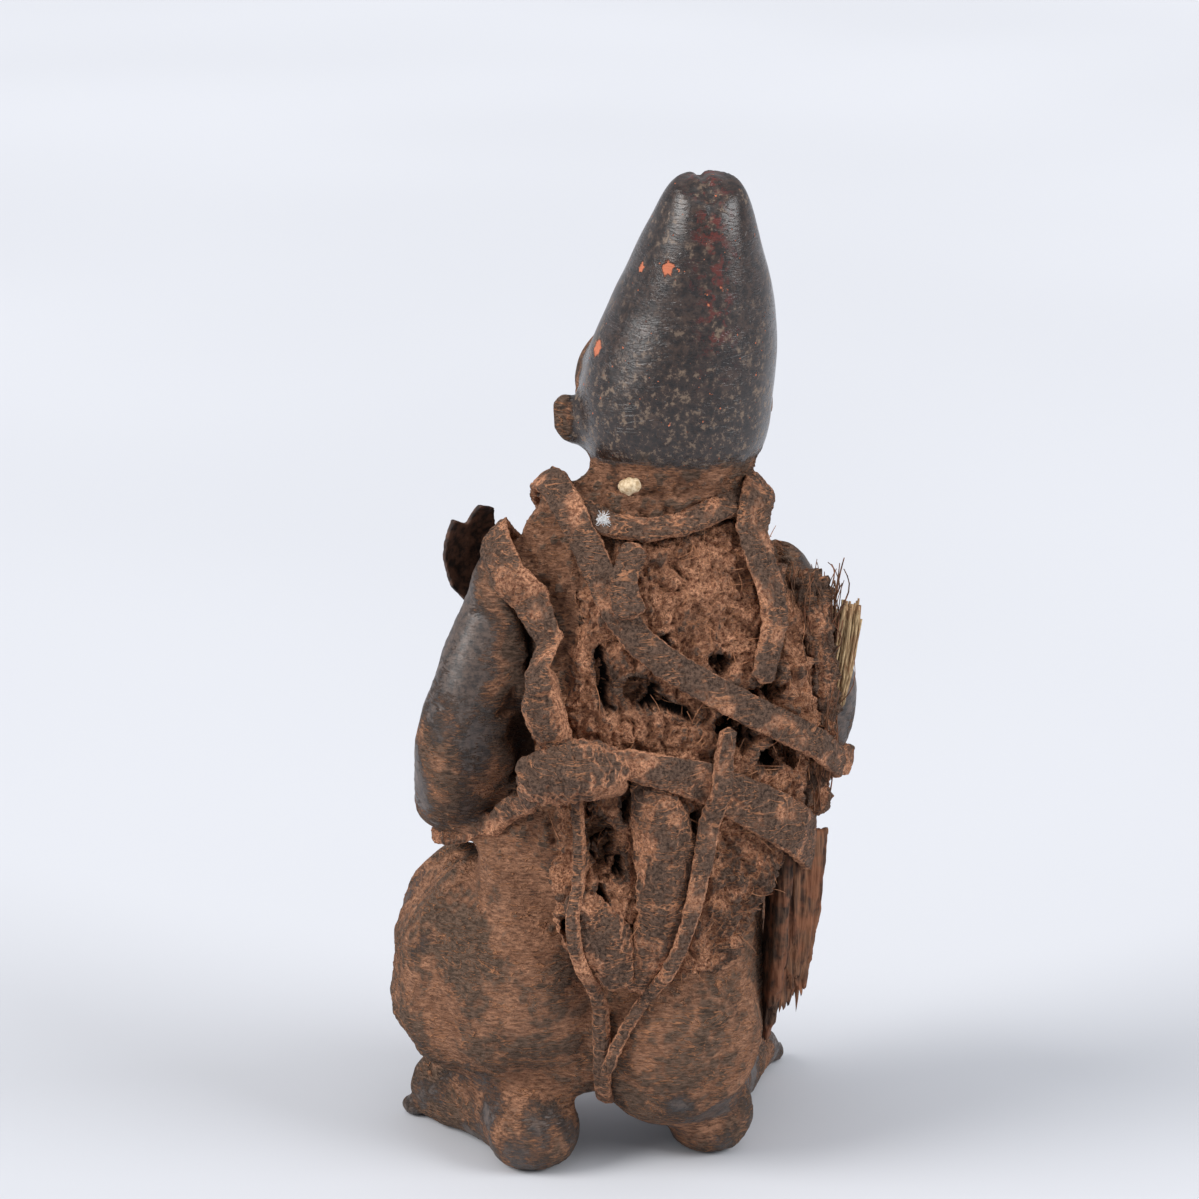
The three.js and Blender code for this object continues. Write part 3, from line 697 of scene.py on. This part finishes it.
def make_caked(
    name, paint, slot, voxel=0.65, rounds=9, grow=0.4, size=6.0, height=0.6, rub=0.62, ridges=0.0, tuck=0.0
):
    """A strap or bundle under its crust of earth, all in mm.

    grow thickens it, size and height are those of its lumps, ridges are folds running up it, and rub is how
    worn its outer face is. tuck thins it and draws it in where it passes under the left elbow.
    """
    skin = Skin(name, voxel)
    skin.relax(rounds)
    for spot, radii, shift in BENDS.get(name, []):
        share = np.exp(-(((skin.points - spot) / radii) ** 2).sum(1))
        skin.push(share, np.array(shift))
    seed = sum(map(ord, name))
    crust = height * (lumps(skin.points, size, seed, 2) + crumbs(skin.points, 3.5, seed + 2) - 0.4)
    crust += 0.22 * lumps(skin.points, 1.7, seed + 3, 2) - 0.35 * creases(skin.points, 6, seed + 4)
    folds = lumps(skin.points, (2.2, 2.2, 14), seed + 5, 2)
    skin.push(grow + crust + ridges * folds)
    elbow = smoothstep(skin.points[:, 0], 50, 68)
    skin.push(-0.25 * tuck * elbow)
    skin.push(-tuck * elbow, TO_LEFT)
    out = skin.normals()
    away = skin.points[:, :2] - BODY_AXIS
    away /= np.linalg.norm(away, axis=1)[:, None]
    facing = 0.9 * (out[:, :2] * away).sum(1) + 0.35 * out[:, 2]
    proud = skin.proud(10)
    patchy = lumps(skin.points, 14, seed + 7, 2)
    worn = rub * smoothstep(facing, 0.3, 0.85) + 0.45 * proud + 0.4 * patchy + 0.12
    # Painted shade in the creases of the crust.
    hollow = smoothstep(-proud, 0.5, 1.5) * 0.5
    return skin.build(f"{name}_caked", paint, slot, name, worn=np.clip(worn, 0, 1), hollow=hollow)


# ---- Wood, straw, shell and other small things ----

STRAW_COUNT = 46
FRAY_COUNT = 190
ROOT_COUNT = 420
DOWN_COUNT = 90
DOWN_PLACE = np.array([17.5, 31.0, 227.5])


def make_grained(name, paint, slot, voxel=0.6, rounds=4, height=0.5, ragged=0.0):
    """Wood or bark with its grain running up.

    ragged is how far its splinters reach past its lower end, mm.
    """
    skin = Skin(name, voxel)
    skin.relax(rounds)
    seed = sum(map(ord, name))
    skin.push(height * lumps(skin.points, (1.6, 1.6, 22), seed, 2) + 0.3 * lumps(skin.points, 5, seed + 3, 2))
    z = skin.points[:, 2]
    splinters = lumps(skin.points, (2.4, 2.4, 60), seed + 5, 2) - 0.1
    torn = (1 - smoothstep(z, z.min(), z.min() + 16)) * splinters
    skin.push(ragged * torn, -UP)
    return skin.build(f"{name}_grained", paint, slot, name)


def make_straws(paint):
    """A sheaf of split straws standing in its binding."""
    low, high = (np.array(c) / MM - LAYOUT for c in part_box("straw_bundle"))
    middle = (low + high) / 2
    paths, radii = [], []
    for _ in range(STRAW_COUNT):
        turn, out = rng.uniform(0, 2 * math.pi), 4.6 * math.sqrt(rng.uniform(0.05, 1))
        foot = np.array([middle[0] + 2 + out * math.cos(turn), middle[1] - 1 + out * math.sin(turn), low[2]])
        top = foot + [-4 + rng.normal(0, 0.8), 3 + rng.normal(0, 0.8), high[2] - low[2] - rng.uniform(-1, 9)]
        bow = rng.normal(0, 0.7, 3) * [1, 1, 0]
        path = np.array([foot + (top - foot) * t + bow * math.sin(math.pi * t) for t in np.linspace(0, 1, 7)])
        paths.append(path)
        radii.append(np.full(7, rng.uniform(0.38, 0.62)))
    return place("straws", tubes(paths, radii, 6), paint, "straw", "straw_bundle")


def make_frays(paint):
    """Loose fibres along the rolled bark fibre, standing out raggedly at its top."""
    low, high = (np.array(c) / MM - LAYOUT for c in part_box("fibre_roll"))
    middle = (low + high) / 2
    paths, radii = [], []
    for _ in range(FRAY_COUNT):
        turn = rng.uniform(0, 2 * math.pi)
        out = np.array([math.cos(turn), math.sin(turn), 0.0])
        length = rng.uniform(8, 30)
        foot = middle + out * rng.uniform(7.2, 8.6)
        foot[2] = rng.uniform(low[2] + 4, high[2] - 4)
        lean = rng.normal(0, 0.12, 3) + out * rng.uniform(-0.08, 0.16)
        curl = rng.normal(0, 1.6, 3)
        steps = np.linspace(0, 1, 7)
        top = min(length, high[2] + rng.uniform(-3, 5) - foot[2])
        path = [foot + top * t * (lean + [0, 0, 1]) + curl * math.sin(math.pi * t) for t in steps]
        paths.append(np.array(path))
        radii.append(np.linspace(1, 0.5, 7) * rng.uniform(0.15, 0.42))
    return place("frayed_fibres", tubes(paths, radii, 5), paint, "fibre", "fibre_roll")


def make_roots(paint, carrier):
    """Fine rootlets lying over the packing, each rising from it and going back in."""
    mesh = carrier.data
    spots = [v for v in mesh.vertices if v.normal.y > 0.25]
    paths, radii = [], []
    for spot in rng.choice(len(spots), ROOT_COUNT, replace=False):
        start = np.array(spots[spot].co) / MM - LAYOUT
        out = np.array(spots[spot].normal)
        heading = np.cross(out, rng.normal(0, 1, 3))
        heading /= np.linalg.norm(heading)
        length = rng.uniform(3, 12)
        rise = rng.uniform(0.2, 1.6)
        sway = np.cross(out, heading) * rng.normal(0, 1.6)
        arc = []
        for t in np.linspace(0, 1, 6):
            lift = rise * math.sin(math.pi * t) - 0.3
            arc.append(start + heading * length * t + out * lift + sway * t * t)
        paths.append(np.array(arc))
        radii.append(np.linspace(1, 0.5, 6) * rng.uniform(0.1, 0.22))
    return place("rootlets", tubes(paths, radii, 4), paint, "fibre", "earth_pack")


def make_fluff(paint):
    """A tuft of white down caught under the collar."""
    paths, radii = [], []
    for _ in range(DOWN_COUNT):
        start = DOWN_PLACE + rng.normal(0, 0.6, 3)
        heading = rng.normal(0, 1, 3) + [-0.3, 0.5, 0.5]
        heading /= np.linalg.norm(heading)
        curl = rng.normal(0, 0.8, 3)
        paths.append(np.array([start + heading * 1.4 * t + curl * t * t for t in np.linspace(0, 1, 5)]))
        radii.append(np.linspace(1, 0.4, 5) * 0.16)
    return place("down_tuft", tubes(paths, radii, 3), paint, "seed", "kernel")


def make_small_things(earth):
    wood = grained_paint("weathered_wood", tint(38, 27, 22), tint(92, 68, 52))
    bark = grained_paint("flaking_bark", tint(58, 40, 32), tint(128, 90, 66), across=1.4, depth=0.9)
    straw_tints = tint(116, 90, 62), tint(206, 178, 136)
    straw = grained_paint("dry_straw", *straw_tints, across=0.6, along=9, depth=0.1, earthy=0.35)
    gourd = plain_paint("calabash", tint(24, 16, 13), tint(84, 56, 42), 3.0, 0.6, 0.6)
    seed = plain_paint("kernel", tint(176, 148, 112), tint(228, 206, 172), 1.6, 0.75, 0.5)
    down = plain_paint("down", tint(214, 214, 214), tint(240, 240, 240), 2.0, 0.8, 0.0)
    root = plain_paint("rootlet", tint(120, 74, 50), tint(182, 128, 92), 4.0, 0.9, 0.0)
    make_grained("board", wood, "wood", ragged=7.0)
    make_grained("peg", wood, "wood", voxel=0.4)
    make_grained("bark", bark, "bark", height=1.1, ragged=12.0)
    shard = Skin("calabash_shard", 0.5)
    shard.relax(6)
    shard.push(0.25 * lumps(shard.points, 4, 91, 2))
    shard.build("calabash_shell", gourd, "gourd", "calabash_shard")
    kernel = Skin("kernel", 0.35)
    kernel.relax(6)
    kernel.push(0.3 + 0.5 * lumps(kernel.points, 2.2, 93, 2))
    kernel.build("kernel_meat", seed, "seed", "kernel")
    make_straws(straw)
    make_frays(grained_paint("frayed_fibre", tint(52, 36, 27), tint(132, 96, 72), depth=0.2, roughness=0.9))
    make_roots(root, earth)
    make_fluff(down)


# ---- Studio ----

VIEW_AZIMUTH = 168.0
VIEW_ELEVATION = 15.0
VIEW_DISTANCE = 1.5
VIEW_CENTRE = Vector((0.0091, -0.0003, 0.1901))
VIEW_HALF_WIDTH = 0.2019
SENSOR_WIDTH = 36.0  # mm
WORLD_STRENGTH = 0.56
FLOOR_REACH = 8.0  # m

# Far-off softboxes: turn from the camera, elevation, power, how wide each looks in degrees, and colour.
SOFTBOXES = {
    "left_softbox": (-70, 34, 2.5, 36, (1.0, 0.98, 0.96)),
    "right_softbox": (66, 32, 1.9, 36, (0.98, 0.99, 1.0)),
    "top_softbox": (0, 75, 0.5, 50, (1.0, 1.0, 1.0)),
}


def direction(azimuth, elevation):
    """Azimuth 0 is in front of the figure and 90 on its left."""
    a, e = math.radians(azimuth), math.radians(elevation)
    return Vector((math.sin(a) * math.cos(e), -math.cos(a) * math.cos(e), math.sin(e)))


def make_camera():
    data = bpy.data.cameras.new("camera")
    data.sensor_width = SENSOR_WIDTH
    data.lens = SENSOR_WIDTH / 2 * VIEW_DISTANCE / VIEW_HALF_WIDTH
    camera = bpy.data.objects.new("camera", data)
    scene.collection.objects.link(camera)
    away = direction(VIEW_AZIMUTH, VIEW_ELEVATION)
    camera.location = VIEW_CENTRE + away * VIEW_DISTANCE
    camera.rotation_euler = (-away).to_track_quat("-Z", "Y").to_euler()
    scene.camera = camera


def make_light(name, azimuth, elevation, power, spread, colour):
    """A far-off soft light, as SOFTBOXES describes it."""
    data = bpy.data.lights.new(name, "SUN")
    data.angle = math.radians(spread)
    data.energy = power
    data.color = colour
    light = bpy.data.objects.new(name, data)
    scene.collection.objects.link(light)
    light.rotation_euler = (-direction(azimuth, elevation)).to_track_quat("-Z", "Y").to_euler()


def make_studio():
    for name, (turn, elevation, power, spread, colour) in SOFTBOXES.items():
        make_light(name, VIEW_AZIMUTH + turn, elevation, power, spread, colour)
    world = bpy.data.worlds.new("studio")
    world.use_nodes = True
    background = world.node_tree.nodes["Background"]
    background.inputs["Color"].default_value = tint(228, 231, 238)
    background.inputs["Strength"].default_value = WORLD_STRENGTH
    scene.world = world

    mesh = bpy.data.meshes.new("floor")
    r = FLOOR_REACH
    mesh.from_pydata([(-r, -r, 0), (r, -r, 0), (r, r, 0), (-r, r, 0)], [], [(0, 1, 2, 3)])
    floor = bpy.data.objects.new("floor", mesh)
    scene.collection.objects.link(floor)
    paint = Paint("studio_floor")
    shade = paint.noise(700, 1)
    colour = paint.mix(paint.between(shade, 0.3, 0.7), tint(204, 206, 211), tint(208, 210, 215))
    mesh.materials.append(paint.finish(colour, 0.95, 0.0))
    scene.view_settings.view_transform = "Standard"


make_figure()
crust = crust_paint("packed_earth")
packing = make_pack(crust)
strap_crust = crust_paint("strap_crust", 2.0)
for strap in STRAPS:
    tuck = TUCKED.get(strap, 0.0)
    make_caked(strap, strap_crust, "strap", 0.55, rounds=6, grow=0.2, height=0.26, tuck=tuck)
make_caked("knot", strap_crust, "bundle", 0.5, rounds=20, grow=3.0, height=1.1, rub=0.7)
make_caked("side_bundle", strap_crust, "bundle", 0.5, rounds=20, grow=0.8, height=0.5, rub=0.7, ridges=0.4)
make_caked("pod", strap_crust, "bundle", 0.6, rounds=20, height=0.6, rub=0.65, ridges=0.6)
make_caked("tongue", strap_crust, "bundle", 0.5, rounds=20, height=0.5, rub=0.7, ridges=0.3)
rolled = crust_paint("rolled_fibre", 2.4, 0.3)
make_caked("fibre_roll", rolled, "fibre", 0.6, rounds=5, grow=0.0, size=5, height=1.5, rub=0.5, ridges=1.8)
make_small_things(packing)
make_studio()
make_camera()
